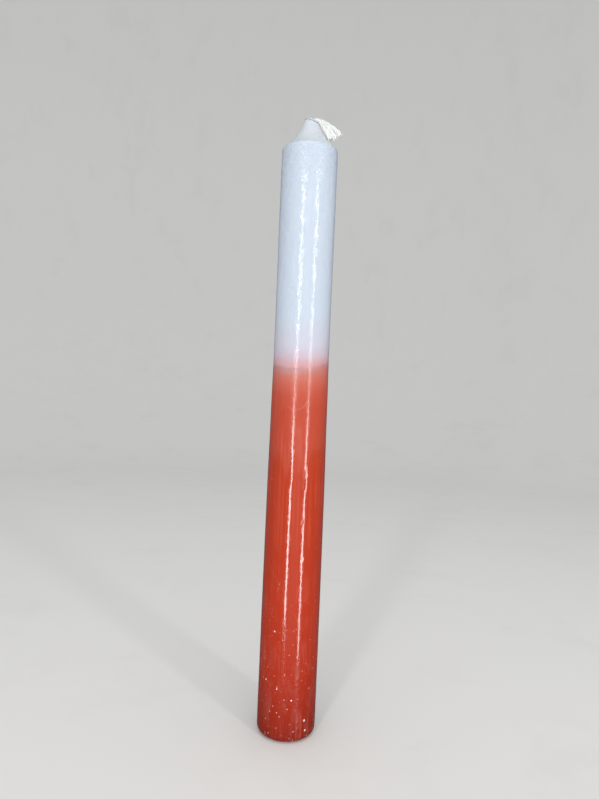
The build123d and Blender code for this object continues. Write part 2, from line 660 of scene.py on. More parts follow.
# Colour of the second skin by millimetres below the first dip line. The last stops, darker towards the foot, are
# painted shade where the light falls off at the rounded foot.
COVER_COLOURS: tuple[tuple[float, Colour], ...] = (
    (0.0, srgb(188, 78, 56)),
    (20.0, srgb(179, 63, 38)),
    (45.0, srgb(174, 55, 28)),
    (95.0, srgb(172, 50, 24)),
    # Painted shade: from here the colour darkens towards the foot.
    (118.0, srgb(163, 43, 18)),
    (134.0, srgb(145, 34, 11)),
    (147.0, srgb(108, 22, 7)),
)


@dataclass(frozen=True)
class WaxFinish:
    """Paraffin wax: soft, slightly see-through, glossy where it was dipped and matt where it was cut."""

    name: str
    gloss_roughness: float
    coat: float
    glow: float
    glow_reach: float
    streak_tint: Colour
    streak_share: float
    scuff_tint: Colour
    scuff_low: float
    scuff_high: float
    speck_tint: Colour
    neck_height: float
    bump: float
    cut_tint: Colour = srgb(194, 200, 204)
    crumb_tint: Colour = srgb(246, 230, 224)
    chips: tuple[tuple[Vector, float], ...] = ()
    streak_rise: tuple[float, float] = (-2 * MM, -1 * MM)
    dapple: float = 13.0
    grain: float = 0.0
    grain_rise: tuple[float, float] = (208 * MM, 224 * MM)
    dust_rise: tuple[float, float] = (1 * MM, 17 * MM)
    chill_rise: tuple[float, float] = (108 * MM, 136 * MM)
    chill_fall: tuple[float, float] = (138 * MM, 156 * MM)
    rubbed_share: float = 0.035
    dust_share: float = 0.34
    crumbed_share: float = 0.22
    crumb_share: float = 0.85
    scratch_share: float = 0.13
    speck_share: float = 0.6
    cut_blend: float = 0.3 * MM
    dip_wobble: float = 3.0 * MM
    cover_blend: tuple[float, float] = (0.1 * MM, 5.4 * MM)
    roughening: tuple[float, ...] = (0.06, 0.25, 0.12, 0.3, 0.1)  # by fine lines, scuffs, wear, milling, chill
    dulling: tuple[float, float] = (0.6, 0.9)  # of the coat, by wear and chill
    streak_relief: float = 0.6
    scratch_relief: float = 0.6
    crumb_relief: float = 1.4

    def build(self, effects: Effects) -> bpy.types.Material:
        """Builds the material.

        Args:
            effects: The shared shader groups.

        Returns:
            The material.
        """
        material, tree, place = new_material(self.name)
        height = tree.add("ShaderNodeSeparateXYZ", None, {0: place}).outputs["Z"]

        streaks = effects.streaks.place(tree, place, Across=850.0, Along=16.0, Threshold=0.56, Softness=0.12)
        fine = effects.streaks.place(tree, place, Across=2400.0, Along=60.0, Threshold=0.5, Softness=0.3)
        specks = effects.specks.place(tree, place, Scale=430.0, Size=0.16, Share=0.05)
        crumbs = effects.specks.place(tree, place, Scale=900.0, Size=0.3, Share=0.3)
        scuffs = effects.scuffs.place(tree, place, Scale=185.0, Coverage=0.51, Length=2.4)
        crumbled = effects.specks.place(tree, place, Scale=760.0, Size=0.24, Share=0.24)
        scratches = effects.scratches.place(tree, place, Scale=61.0, Lean=0.5, Width=0.008)

        colour = self._dip_colour(tree, place)
        patchy = tree.ramp(tree.noise(place, 60.0), 0.42, 0.62)
        share = tree.times(tree.times(streaks["Mask"], patchy), self.streak_share)
        share = tree.times(share, tree.ramp(height, *self.streak_rise))
        colour = tree.mix(share, colour, (*self.streak_tint, 1.0))
        worn = tree.ramp(height, self.scuff_high, self.scuff_low)
        rubbed = tree.times(scuffs["Mask"], worn)
        crumbed = tree.times(crumbs["Mask"], rubbed)
        dusty = tree.times(scuffs["Dust"], tree.times(worn, tree.ramp(height, *self.dust_rise)))
        pale = tree.plus(tree.times(rubbed, self.rubbed_share), tree.times(dusty, self.dust_share))
        pale = tree.plus(pale, tree.times(crumbed, self.crumbed_share))
        scuff = (*self.scuff_tint, 1.0)
        colour = tree.mix(pale, colour, scuff)
        white = (*self.crumb_tint, 1.0)
        colour = tree.mix(tree.times(crumbled["Mask"], tree.times(worn, self.crumb_share)), colour, white)
        colour = tree.mix(tree.times(scratches["Mask"], self.scratch_share), colour, scuff)
        for chip, reach in self.chips:
            apart = tree.add("ShaderNodeVectorMath", {"operation": "DISTANCE"}, {0: place, 1: chip}).outputs["Value"]
            colour = tree.mix(tree.ramp(apart, reach, reach / 2), colour, white)
        colour = tree.mix(tree.times(specks["Mask"], self.speck_share), colour, (*self.speck_tint, 1.0))

        cut = tree.ramp(height, self.neck_height - self.cut_blend, self.neck_height + self.cut_blend)
        uncut = tree.minus(1.0, cut)
        colour = tree.mix(cut, colour, (*self.cut_tint, 1.0))
        warm = tree.minus(1.0, tree.ramp(height, *self.chill_fall))
        chilled = tree.times(tree.ramp(height, *self.chill_rise), warm)
        gloss = self.gloss_roughness
        for mask, rise in zip((fine["Height"], rubbed, worn, cut, chilled), self.roughening):
            gloss = tree.plus(gloss, tree.times(mask, rise))
        varnish = tree.times(uncut, self.coat)
        for mask, loss in zip((worn, chilled), self.dulling):
            varnish = tree.times(varnish, tree.minus(1.0, tree.times(mask, loss)))

        relief = tree.plus(tree.times(streaks["Height"], self.streak_relief), fine["Height"])
        relief = tree.plus(relief, tree.times(tree.noise(place, 620.0, 3.0), self.dapple))
        relief = tree.minus(relief, tree.times(scratches["Mask"], self.scratch_relief))
        relief = tree.plus(relief, tree.times(crumbed, self.crumb_relief))
        grain = tree.times(tree.noise(place, 1500.0, 2.0), tree.ramp(height, *self.grain_rise))
        relief = tree.plus(relief, tree.times(tree.times(grain, uncut), self.grain))
        bump = tree.add("ShaderNodeBump", None, {"Strength": 1.0, "Distance": self.bump, "Height": relief})
        shader = tree.add(
            "ShaderNodeBsdfPrincipled",
            {"subsurface_method": "RANDOM_WALK"},
            {
                "Base Color": colour,
                "Roughness": gloss,
                "IOR": 1.44,
                "Subsurface Weight": self.glow,
                "Subsurface Radius": (1.0, 0.75, 0.6),
                "Subsurface Scale": self.glow_reach,
                "Coat Weight": varnish,
                "Coat Roughness": 0.06,
                "Normal": bump.outputs[0],
            },
        )
        tree.add("ShaderNodeOutputMaterial", None, {0: shader.outputs[0]})
        return material

    def _dip_colour(self, tree: Tree, place: bpy.types.NodeSocket) -> bpy.types.NodeSocket:
        """Gives the wax's colour from its depth below both dip lines, with cloudy edges."""
        depth = tree.add("ShaderNodeAttribute", {"attribute_name": DEPTH}).outputs["Fac"]
        cover = tree.add("ShaderNodeAttribute", {"attribute_name": COVER}).outputs["Fac"]
        wobble = tree.times(tree.minus(tree.noise(place, 150.0, 3.0), 0.5), self.dip_wobble)
        uneven = tree.plus(depth, wobble)
        stained = self._ramp(tree, uneven, DIP_COLOURS)
        covered = self._ramp(tree, uneven, COVER_COLOURS)
        share = tree.ramp(tree.plus(cover, tree.times(wobble, 0.5)), *self.cover_blend)
        return tree.mix(share, stained, covered)

    @staticmethod
    def _ramp(
        tree: Tree, value: bpy.types.NodeSocket, colours: tuple[tuple[float, Colour], ...]
    ) -> bpy.types.NodeSocket:
        """Looks a depth up in a table of colours."""
        low, high = colours[0][0], colours[-1][0]
        inputs = {"Value": value, "From Min": low * MM, "From Max": high * MM}
        ramp = tree.add("ShaderNodeValToRGB", None, {0: tree.add("ShaderNodeMapRange", None, inputs).outputs[0]})
        stops = ramp.color_ramp.elements
        for index, (depth, shade) in enumerate(colours):
            share = (depth - low) / (high - low)
            stop = stops[index] if index < 1 else stops.new(share) if index < len(colours) - 1 else stops[-1]
            stop.position = share
            stop.color = (*shade, 1.0)
        return ramp.outputs["Color"]


@dataclass(frozen=True)
class CottonFinish:
    """Bleached cotton yarn, lightly waxed, with lit and shaded fibre lines painted into its colour."""

    name: str = "bleached_cotton"
    # Painted light and shade: the lit tone of the yarns and the shaded tone of the grooves between them.
    light: Colour = srgb(229, 233, 236)
    shade: Colour = srgb(206, 205, 193)
    roughness: float = 0.45

    def build(self, effects: Effects) -> bpy.types.Material:
        """Builds the material.

        Args:
            effects: The shared shader groups.

        Returns:
            The material.
        """
        material, tree, place = new_material(self.name)
        fibres = effects.streaks.place(tree, place, Across=5200.0, Along=1900.0, Threshold=0.5, Softness=0.22)
        darker_patches = effects.scuffs.place(tree, place, Scale=900.0, Coverage=0.42)
        # Painted highlight and shade: fine lengthwise lines mix the shaded tone with the lit one.
        colour = tree.mix(fibres["Mask"], (*self.shade, 1.0), (*self.light, 1.0))
        # Cloudy patches, darkened a quarter of the way towards the painted shade tone.
        colour = tree.mix(tree.times(darker_patches["Mask"], 0.25), colour, (*self.shade, 1.0))
        bump = tree.add(
            "ShaderNodeBump", None, {"Strength": 1.0, "Distance": 0.012 * MM, "Height": fibres["Height"]}
        )
        shader = tree.add(
            "ShaderNodeBsdfPrincipled",
            None,
            {
                "Base Color": colour,
                "Roughness": self.roughness,
                "Sheen Weight": 0.3,
                "Sheen Roughness": 0.4,
                "Coat Weight": 0.3,
                "Coat Roughness": 0.25,
                "Subsurface Weight": 0.25,
                "Subsurface Radius": (1.0, 0.95, 0.85),
                "Subsurface Scale": 0.4 * MM,
                "Normal": bump.outputs[0],
            },
        )
        tree.add("ShaderNodeOutputMaterial", None, {0: shader.outputs[0]})
        return material


@dataclass(frozen=True)
class BoardFinish:
    """The studio's plain pale floor."""

    name: str = "pale_board"
    tone: Colour = srgb(226, 224, 219)

    def build(self, effects: Effects) -> bpy.types.Material:
        """Builds the material.

        Args:
            effects: The shared shader groups.

        Returns:
            The material.
        """
        material, tree, place = new_material(self.name)
        cloud = effects.scuffs.place(tree, place, Scale=14.0, Coverage=0.5)
        darker = tuple(level * 0.97 for level in self.tone)
        colour = tree.mix(cloud["Mask"], (*self.tone, 1.0), (*darker, 1.0))
        inputs = {"Base Color": colour, "Roughness": 0.9, "Specular IOR Level": 0.0}
        shader = tree.add("ShaderNodeBsdfPrincipled", None, inputs)
        tree.add("ShaderNodeOutputMaterial", None, {0: shader.outputs[0]})
        return material


# ---------------------------------------------------------------------------------------------
# Sub-assemblies
# ---------------------------------------------------------------------------------------------
@dataclass
class WaxStock:
    """The white wax body, from its rounded foot to the mouth of its milled neck."""

    sizes: CandleSizes
    surface: WaxSurface
    segments: int = 224
    fine_step: float = 0.55 * MM
    hidden_step: float = 5.0 * MM
    fine_from: float = 138.0 * MM
    shoulder_round: float = 0.5 * MM
    neck_sweep_radius: float = 24.0 * MM
    neck_tip_radius: float = 2.45 * MM
    neck_rise: float = 13.3 * MM
    mouth_slope: float = math.radians(20.0)
    mouth_rise: float = 12.1 * MM
    mouth_round: float = 0.85 * MM
    channel_radius: float = 1.375 * MM
    milling_pitch: float = 0.42 * MM
    milling_depth: float = 0.006 * MM
    blemishes: tuple[Blemish, ...] = (
        Blemish(angle=-99, height=214.0, width=0.9, length=1.2, depth=0.05),
        Blemish(angle=-60, height=206.0, width=0.5, length=0.5, depth=0.06),
        Blemish(angle=-104, height=186.0, width=1.0, length=2.2, depth=0.04),
        Blemish(angle=-68, height=160.5, width=0.6, length=0.8, depth=-0.07),
        Blemish(angle=-66, height=159.0, width=0.4, length=0.5, depth=0.06),
        Blemish(angle=-92, height=177.0, width=0.7, length=4.0, depth=-0.03),
        Blemish(angle=-118, height=199.0, width=0.6, length=5.0, depth=0.03),
        Blemish(angle=-84, height=153.0, width=0.35, length=3.2, depth=0.04),
        Blemish(angle=40, height=190.0, width=0.8, length=3.0, depth=0.04),
        Blemish(angle=130, height=172.0, width=0.7, length=6.0, depth=-0.03),
    )

    def _outline(self) -> Outline:
        """Draws the half section, from the axis at the foot to the channel in the mouth."""
        sizes = self.sizes
        top = sizes.shoulder + self.neck_rise
        chord = Vector((self.neck_tip_radius - sizes.core_radius, self.neck_rise))
        half = chord.length / 2
        across = Vector((chord.y, -chord.x)).normalized()
        distance = math.sqrt(self.neck_sweep_radius**2 - half**2)
        centre = Vector((sizes.core_radius, sizes.shoulder)) + chord / 2 + across * distance
        sweep = -2 * math.asin(half / self.neck_sweep_radius)
        outline = Outline(self.channel_radius, sizes.core_foot)
        outline.line(sizes.core_radius - sizes.foot_round, sizes.core_foot, 3 * MM)
        rim_centre = (sizes.core_radius - sizes.foot_round, sizes.core_foot + sizes.foot_round)
        outline.arc(rim_centre, math.pi / 2, 6)
        outline.line(sizes.core_radius, self.fine_from, self.hidden_step)
        outline.line(sizes.core_radius, sizes.shoulder - self.shoulder_round, self.fine_step)
        outline.line(sizes.core_radius, sizes.shoulder, self.shoulder_round)
        outline.arc(tuple(centre), sweep, 44)
        outline.round_corner(Vector((sizes.core_radius, sizes.shoulder)), self.shoulder_round, 5)
        outline.line(self.channel_radius, top, 0.3 * MM)
        outline.line(self.channel_radius, sizes.core_foot, 6 * MM)
        return outline

    def _cut_mouth(self, shape: bmesh.types.BMesh) -> None:
        """Cuts the neck's sloped mouth and closes the ring between the flank and the channel."""
        tilt = math.tan(self.mouth_slope)
        normal = Vector((tilt, 0.0, 1.0)).normalized()
        centre = Vector((0.0, 0.0, self.sizes.shoulder + self.mouth_rise))
        cut = bmesh.ops.bisect_plane(
            shape,
            geom=[*shape.verts, *shape.edges, *shape.faces],
            plane_co=centre,
            plane_no=normal,
            clear_outer=True,
        )
        rims = [item for item in cut["geom_cut"] if isinstance(item, bmesh.types.BMEdge)]
        ring = bmesh.ops.bridge_loops(shape, edges=rims)["faces"]
        outer = [
            edge
            for edge in dict.fromkeys(edge for face in ring for edge in face.edges)
            if min(vert.co.xy.length for vert in edge.verts) > 1.25 * self.channel_radius
        ]
        bmesh.ops.bevel(
            shape,
            geom=outer,
            offset=self.mouth_round,
            segments=4,
            profile=0.5,
            affect="EDGES",
            material=-1,
        )

    def _weather(self, shape: bmesh.types.BMesh) -> None:
        """Gives the outer surface its unevenness, blemishes and milling marks."""
        sizes = self.sizes
        for vert in shape.verts:
            radius, height = vert.co.xy.length, vert.co.z
            if radius < 1.05 * self.channel_radius:
                continue
            angle = math.atan2(vert.co.y, vert.co.x)
            lift = self.surface.lift(angle, height)
            lift += sum(mark.lift(angle, height, radius) for mark in self.blemishes)
            above = height - sizes.shoulder
            if above > -0.01 * MM:
                rings = math.sin(math.tau * above / self.milling_pitch + 0.4 * math.sin(angle))
                lift = lift * 0.5 + self.milling_depth * rings
            vert.co.x += lift * math.cos(angle)
            vert.co.y += lift * math.sin(angle)

    def build(self, material: bpy.types.Material) -> bpy.types.Object:
        """Builds the stock.

        Args:
            material: The white wax.

        Returns:
            The finished piece.
        """
        shape = self._outline().spun(self.segments)
        self._cut_mouth(shape)
        self._weather(shape)
        depth = shape.verts.layers.float.new(DEPTH)
        for vert in shape.verts:
            angle = math.atan2(vert.co.y, vert.co.x)
            vert[depth] = self.sizes.edge_height(self.sizes.first_edge_top, angle) - vert.co.z
        bmesh.ops.recalc_face_normals(shape, faces=shape.faces)
        crease(shape)
        piece = link_shape("white_wax_stock", shape, material)
        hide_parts("wax_core")
        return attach(piece, BODY)


class Dip(Enum):
    """The two times that the candle was dipped in red wax."""

    FIRST = "first"
    SECOND = "second"


@dataclass
class DippedSkin:
    """One skin of red wax: a closed thin cup round the stock, with a feathered upper edge."""

    dip: Dip
    sizes: CandleSizes
    surface: WaxSurface
    edge_wave: float
    feather: float
    edge_thickness: float
    fine_from: float
    material_slot: str
    segments: int = 224
    fine_step: float = 0.6 * MM
    hidden_step: float = 5.0 * MM
    blemishes: tuple[Blemish, ...] = ()
    tongues: tuple[tuple[float, float, float], ...] = ()
    rim_roughness: float = 0.0
    rim_grain: float = 1.5 * MM
    wave_turns: float = 1.9
    lobe_turns: float = 4.5
    lobe_share: float = 0.4

    @property
    def inner_radius(self) -> float:
        """Radius of the wax that this skin lies on."""
        return self.sizes.core_radius if self.dip is Dip.FIRST else self.sizes.skin_radius

    @property
    def outer_radius(self) -> float:
        """Radius of the finished skin near the foot."""
        return self.sizes.skin_radius if self.dip is Dip.FIRST else self.sizes.coat_radius

    @property
    def inner_foot(self) -> float:
        """Height of the foot that this skin closes."""
        return self.sizes.core_foot if self.dip is Dip.FIRST else self.sizes.skin_foot

    @property
    def edge_top(self) -> float:
        """The highest point of the skin's upper edge."""
        first = self.dip is Dip.FIRST
        return self.sizes.first_edge_top if first else self.sizes.second_edge_top

    def _edge_shift(self, angle: float) -> float:
        """How far the uneven upper edge lies below its highest level, at an angle."""
        across = Vector((math.cos(angle), math.sin(angle), 0.0))
        waves = noise.noise(across * self.wave_turns + Vector((0, 0, 3.0 + self.edge_top * 40)))
        lobes = noise.noise(across * self.lobe_turns + Vector((0, 0, 8.0)))
        wave = (1.0 - self.lobe_share) * waves + self.lobe_share * lobes
        sloped = self.sizes.edge_height(self.edge_top, angle) - self.edge_top
        for side, width, drop in self.tongues:
            turn = math.degrees(math.remainder(angle - math.radians(side), math.tau)) / width
            sloped -= drop * MM * math.exp(-turn * turn)
        return sloped + self.edge_wave * (wave - 0.5)

    def _outline(self) -> Outline:
        """Draws the half section: foot, rim, outer wall, feathered edge and the inner wall back down."""
        sizes, thickness = self.sizes, self.outer_radius - self.inner_radius
        outer_foot = self.inner_foot - thickness
        inner_round = sizes.foot_round + self.inner_radius - sizes.core_radius
        outer_round = inner_round + thickness
        centre = (self.outer_radius - outer_round, outer_foot + outer_round)
        outline = Outline(0.0, outer_foot)
        outline.line(centre[0], outer_foot, 1.2 * MM)
        outline.arc(centre, math.pi / 2, 10)
        outline.line(self.outer_radius, self.fine_from, self.fine_step if self.rim_roughness else self.hidden_step)
        outline.line(self.outer_radius, self.edge_top, self.fine_step)
        outline.line(self.inner_radius, self.edge_top, thickness)
        outline.line(self.inner_radius, self.fine_from, self.fine_step * 2)
        outline.line(self.inner_radius, centre[1], self.hidden_step)
        outline.arc(centre, -math.pi / 2, 6)
        outline.line(0.0, self.inner_foot, 2 * MM)
        return outline

    def _shape_walls(self, shape: bmesh.types.BMesh) -> None:
        """Thins the wall towards the edge, lets the edge run uneven and records each point's depths."""
        sizes = self.sizes
        depth = shape.verts.layers.float.new(DEPTH)
        cover = shape.verts.layers.float.new(COVER)
        thickness = self.outer_radius - self.inner_radius
        foot_round = sizes.foot_round + self.outer_radius - sizes.core_radius
        for vert in shape.verts:
            radius, height = vert.co.xy.length, vert.co.z
            angle = math.atan2(vert.co.y, vert.co.x)
            below = self.edge_top - height
            outside = radius - self.inner_radius > 0.5 * thickness
            sheared = height
            if height > self.fine_from:
                share = smooth_step(self.fine_from, self.edge_top, height)
                sheared = height + self._edge_shift(angle) * share
            if outside and height > foot_round:
                grown = self.edge_thickness + (thickness - self.edge_thickness) * (
                    1.0 - math.exp(-below / self.feather)
                )
                radius = self.inner_radius + grown
            if radius > 1.0 * MM:
                radius += self.surface.lift(angle, sheared) * smooth_step(0, foot_round, height)
                if outside:
                    radius += sum(mark.lift(angle, sheared, radius) for mark in self.blemishes)
                    rough = 1.0 - smooth_step(0.3 * foot_round, 2.2 * foot_round, height)
                    grain = noise.noise(Vector((vert.co.x, vert.co.y, height)) / self.rim_grain) - 0.35
                    radius += self.rim_roughness * rough * smooth_step(0, 0.5 * foot_round, height) * grain
            vert.co = Vector((radius * math.cos(angle), radius * math.sin(angle), sheared))
            vert[depth] = sizes.edge_height(sizes.first_edge_top, angle) - sheared
            if self.dip is Dip.SECOND:
                vert[cover] = self.edge_top + self._edge_shift(angle) - sheared

    def build(self, material: bpy.types.Material) -> bpy.types.Object:
        """Builds the skin.

        Args:
            material: The red wax.

        Returns:
            The finished piece.
        """
        shape = self._outline().spun(self.segments)
        self._shape_walls(shape)
        bmesh.ops.recalc_face_normals(shape, faces=shape.faces)
        crease(shape)
        piece = link_shape(f"red_wax_{self.dip.value}_skin", shape, material)
        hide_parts(f"red_{self.dip.value}_dip")
        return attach(piece, BODY)


class Strand(Enum):
    """The wick's three plaited strands, by where they lie in its bend."""

    OUTER = "outer"
    MIDDLE = "middle"
    INNER = "inner"


# Each strand's free end in millimetres: out towards +X, across towards +Y, and up from the shoulder.
FREE_ENDS: dict[Strand, tuple[tuple[float, float, float], ...]] = {
    Strand.OUTER: (
        (-0.75, 0.5, 12.0),
        (-0.1, 0.8, 13.3),
        (2.3, 0.95, 13.55),
        (4.9, 0.8, 12.6),
        (7.2, 0.65, 11.1),
        (9.6, 0.4, 9.35),
        (11.2, 0.25, 7.3),
    ),
    Strand.MIDDLE: (
        (0.05, 0.05, 12.1),
        (0.88, 0.0, 12.98),
        (2.6, -0.1, 12.85),
        (4.7, -0.05, 11.45),
        (6.5, 0.0, 9.8),
        (8.2, 0.0, 7.9),
        (9.6, 0.05, 5.8),
    ),
    Strand.INNER: (
        (0.85, -0.45, 12.0),
        (1.9, -0.95, 12.5),
        (3.3, -1.0, 11.75),
        (4.5, -0.85, 10.2),
        (5.6, -0.6, 8.7),
        (6.7, -0.3, 7.05),
        (7.8, -0.2, 5.2),
    ),
}
PHASES: dict[Strand, float] = {Strand.OUTER: 4 * math.pi / 3, Strand.MIDDLE: 0.0, Strand.INNER: 2 * math.pi / 3}


@dataclass
class Wick:
    """Three plaited cotton strands, each a bundle of yarns that frays at its free end."""

    sizes: CandleSizes
    strand_radius: float = 0.4 * MM
    frayed_radius: float = 1.2 * MM
    spread: float = 0.9 * MM
    lift: float = 0.56 * MM
    pitch: float = 16.0 * MM
    points_per_pitch: int = 12
    plait_height: float = 10.0 * MM
    foot_gap: float = 0.4 * MM
    tails: tuple[float, float, float] = (0.75 * MM, 0.65 * MM, 0.15 * MM)
    yarns: int = 7
    yarn_twist: float = 17.0 * MM
    yarn_thickness: float = 0.41
    yarn_ring: float = 0.66
    yarn_swell: float = 0.14
    yarn_drift: float = 0.2 * MM
    tip_thinning: float = 0.3
    free_length: float = 14.5 * MM
    fibres: int = 70
    fibre_radius: float = 0.022 * MM
    fibre_lengths: tuple[float, float] = (0.5, 1.7)
    seed: int = 41

    def _route_points(self, strand: Strand) -> list[Vector]:
        """Gives a strand's route, from the foot up the plait and over to its free end."""
        top = self.sizes.shoulder + self.plait_height
        foot = self.sizes.core_foot + self.foot_gap
        steps = round((top - foot) / self.pitch * self.points_per_pitch)
        points = []
        for step in range(steps + 1):
            height = foot + (top - foot) * step / steps
            turn = PHASES[strand] + math.tau * (height - top) / self.pitch
            points.append(Vector((self.spread * math.sin(turn), self.lift * math.sin(2 * turn), height)))
        for out, across, up in FREE_ENDS[strand]:
            points.append(Vector((out * MM, across * MM, self.sizes.shoulder + up * MM)))
        return points

    def _route(self, strand: Strand) -> list[Vector]:
        """Reads evenly smooth points off the NURBS spline through a strand's route."""
        curve = bpy.data.curves.new("route", "CURVE")
        curve.dimensions = "3D"
        spline = curve.splines.new("NURBS")
        points = self._route_points(strand)
        spline.points.add(len(points) - 1)
        for place, point in zip(spline.points, points):
            place.co = (*point, 1.0)
        spline.use_endpoint_u = True
        spline.order_u = 3
        curve.resolution_u = 9
        holder = bpy.data.objects.new("route", curve)
        bpy.context.scene.collection.objects.link(holder)
        mesh = evaluated_mesh(holder)
        line = [vert.co.copy() for vert in mesh.vertices]
        bpy.data.meshes.remove(mesh)
        bpy.data.curves.remove(curve)
        loose_from = self.sizes.shoulder + 0.8 * self.plait_height
        loose = next(i for i, point in enumerate(line) if point.z > loose_from)
        last, step = line[-1], (line[-1] - line[-2]).normalized()
        tail = self.tails[list(Strand).index(strand)]
        tail_end = [last + step * tail * share for share in (0.33, 0.67, 1.0)]
        return line[:loose:6] + line[loose:] + tail_end

    @staticmethod
    def _frames(line: list[Vector]) -> list[tuple[Vector, Vector, Vector]]:
        """Carries a pair of side directions along a line without twist."""
        frames = []
        side = Vector((0, 1, 0))
        for index, point in enumerate(line):
            before = line[max(index - 1, 0)]
            after = line[min(index + 1, len(line) - 1)]
            along = (after - before).normalized()
            side = (side - along * side.dot(along)).normalized()
            frames.append((along, side, along.cross(side)))
        return frames

    def _fray(self, line: list[Vector]) -> list[float]:
        """Gives, for each point of a line, how far it is along the frayed free end, from 0 to 1."""
        lengths = [0.0]
        for before, after in zip(line, line[1:]):
            lengths.append(lengths[-1] + (after - before).length)
        return [min(max(1.0 - (lengths[-1] - length) / self.free_length, 0.0), 1.0) for length in lengths]

    @staticmethod
    def _tubes(name: str, runs: list[tuple[list[Vector], list[float]]], sides: int) -> bpy.types.Mesh:
        """Makes one mesh of round tubes.

        Args:
            name: The mesh's name.
            runs: Each tube's line and its radius at every point.
            sides: Half the number of sides, less one.

        Returns:
            The mesh.
        """
        curve = bpy.data.curves.new(name, "CURVE")
        curve.dimensions = "3D"
        curve.bevel_depth = 1.0
        curve.bevel_resolution = sides
        curve.use_fill_caps = True
        for line, radii in runs:
            spline = curve.splines.new("POLY")
            spline.points.add(len(line) - 1)
            for place, point, radius in zip(spline.points, line, radii):
                place.co = (*point, 1.0)
                place.radius = radius
        holder = bpy.data.objects.new(name, curve)
        bpy.context.scene.collection.objects.link(holder)
        mesh = evaluated_mesh(holder)
        bpy.data.curves.remove(curve)
        return mesh

    def _yarn_runs(self, strand: Strand, draw: random.Random) -> list[tuple[list[Vector], list[float]]]:
        """Lays each yarn of a strand round the strand's own line, looser towards the free end."""
        line = self._route(strand)
        frames, fray = self._frames(line), self._fray(line)
        runs = []
        for yarn in range(self.yarns):
            ring = 0.0 if yarn == 0 else 1.0
            phase = math.tau * yarn / (self.yarns - 1)
            wander = Vector((draw.uniform(-9, 9), draw.uniform(-9, 9), draw.uniform(-9, 9)))
            short = draw.uniform(0.0, 0.04) if ring and draw.random() < 0.35 else 0.0
            places, radii = [], []
            travelled = 0.0
            for index, point in enumerate(line):
                if fray[index] > 1.0 - short:
                    break
                if index:
                    travelled += (point - line[index - 1]).length
                along, side, up = frames[index]
                loose = fray[index] ** 1.3
                bundle = self.strand_radius + (self.frayed_radius - self.strand_radius) * loose
                angle = phase + math.tau * travelled / self.yarn_twist
                out = ring * bundle * self.yarn_ring
                drift = noise_shift(wander + point / (2.2 * MM)) * (self.yarn_drift * loose)
                places.append(point + (side * math.cos(angle) + up * math.sin(angle)) * out + drift)
                swell = 1.0 + self.yarn_swell * noise.noise(wander * 1.7 + point / (0.9 * MM)) * (0.3 + loose)
                tip = 1.0 - self.tip_thinning * smooth_step(0.96, 1.0, fray[index])
                radii.append(bundle * self.yarn_thickness * swell * tip)
            runs.append((places, radii))
        return runs

    def _fibre_runs(
        self, runs: list[tuple[list[Vector], list[float]]], draw: random.Random
    ) -> list[tuple[list[Vector], list[float]]]:
        """Grows stray fibres off the yarns' last stretch."""
        strays = []
        for _ in range(self.fibres):
            line, radii = draw.choice(runs)
            start = draw.randrange(int(len(line) * 0.9), len(line) - 2)
            along = (line[start + 1] - line[start]).normalized()
            out = Vector((draw.gauss(0, 1), draw.gauss(0, 1), draw.gauss(0, 1))).normalized()
            out = (out - along * out.dot(along)).normalized()
            reach = draw.uniform(*self.fibre_lengths) * MM
            curl = Vector((draw.gauss(0, 1), draw.gauss(0, 1), draw.gauss(0, 1))) * 0.25
            places, thickness = [], []
            for step in range(7):
                share = step / 6
                lean = out * (0.45 * share + 0.25 * share * share) + curl * share * share
                places.append(line[start] + out * radii[start] * 0.8 + (along * share + lean) * reach)
                thickness.append(self.fibre_radius * (1.0 - 0.6 * share))
            strays.append((places, thickness))
        return strays

    def build(self, cotton: bpy.types.Material, wax: bpy.types.Material) -> list[bpy.types.Object]:
        """Builds the strands and the wax that has crept up their first stretch.

        Args:
            cotton: The yarns' material.
            wax: The white wax.

        Returns:
            The finished pieces.
        """
        pieces = []
        for number, strand in enumerate(Strand):
            draw = random.Random(self.seed + number)
            runs = self._yarn_runs(strand, draw)
            shape = bmesh.new()
            for mesh in (
                self._tubes("yarns", runs, 2),
                self._tubes("fibres", self._fibre_runs(runs, draw), 0),
            ):
                shape.from_mesh(mesh)
                bpy.data.meshes.remove(mesh)
            piece = link_shape(f"cotton_strand_{strand.value}", shape, cotton)
            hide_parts(f"wick_strand_{strand.value}")
            pieces.append(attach(piece, BODY))
        pieces.append(self._primer(wax))
        return pieces

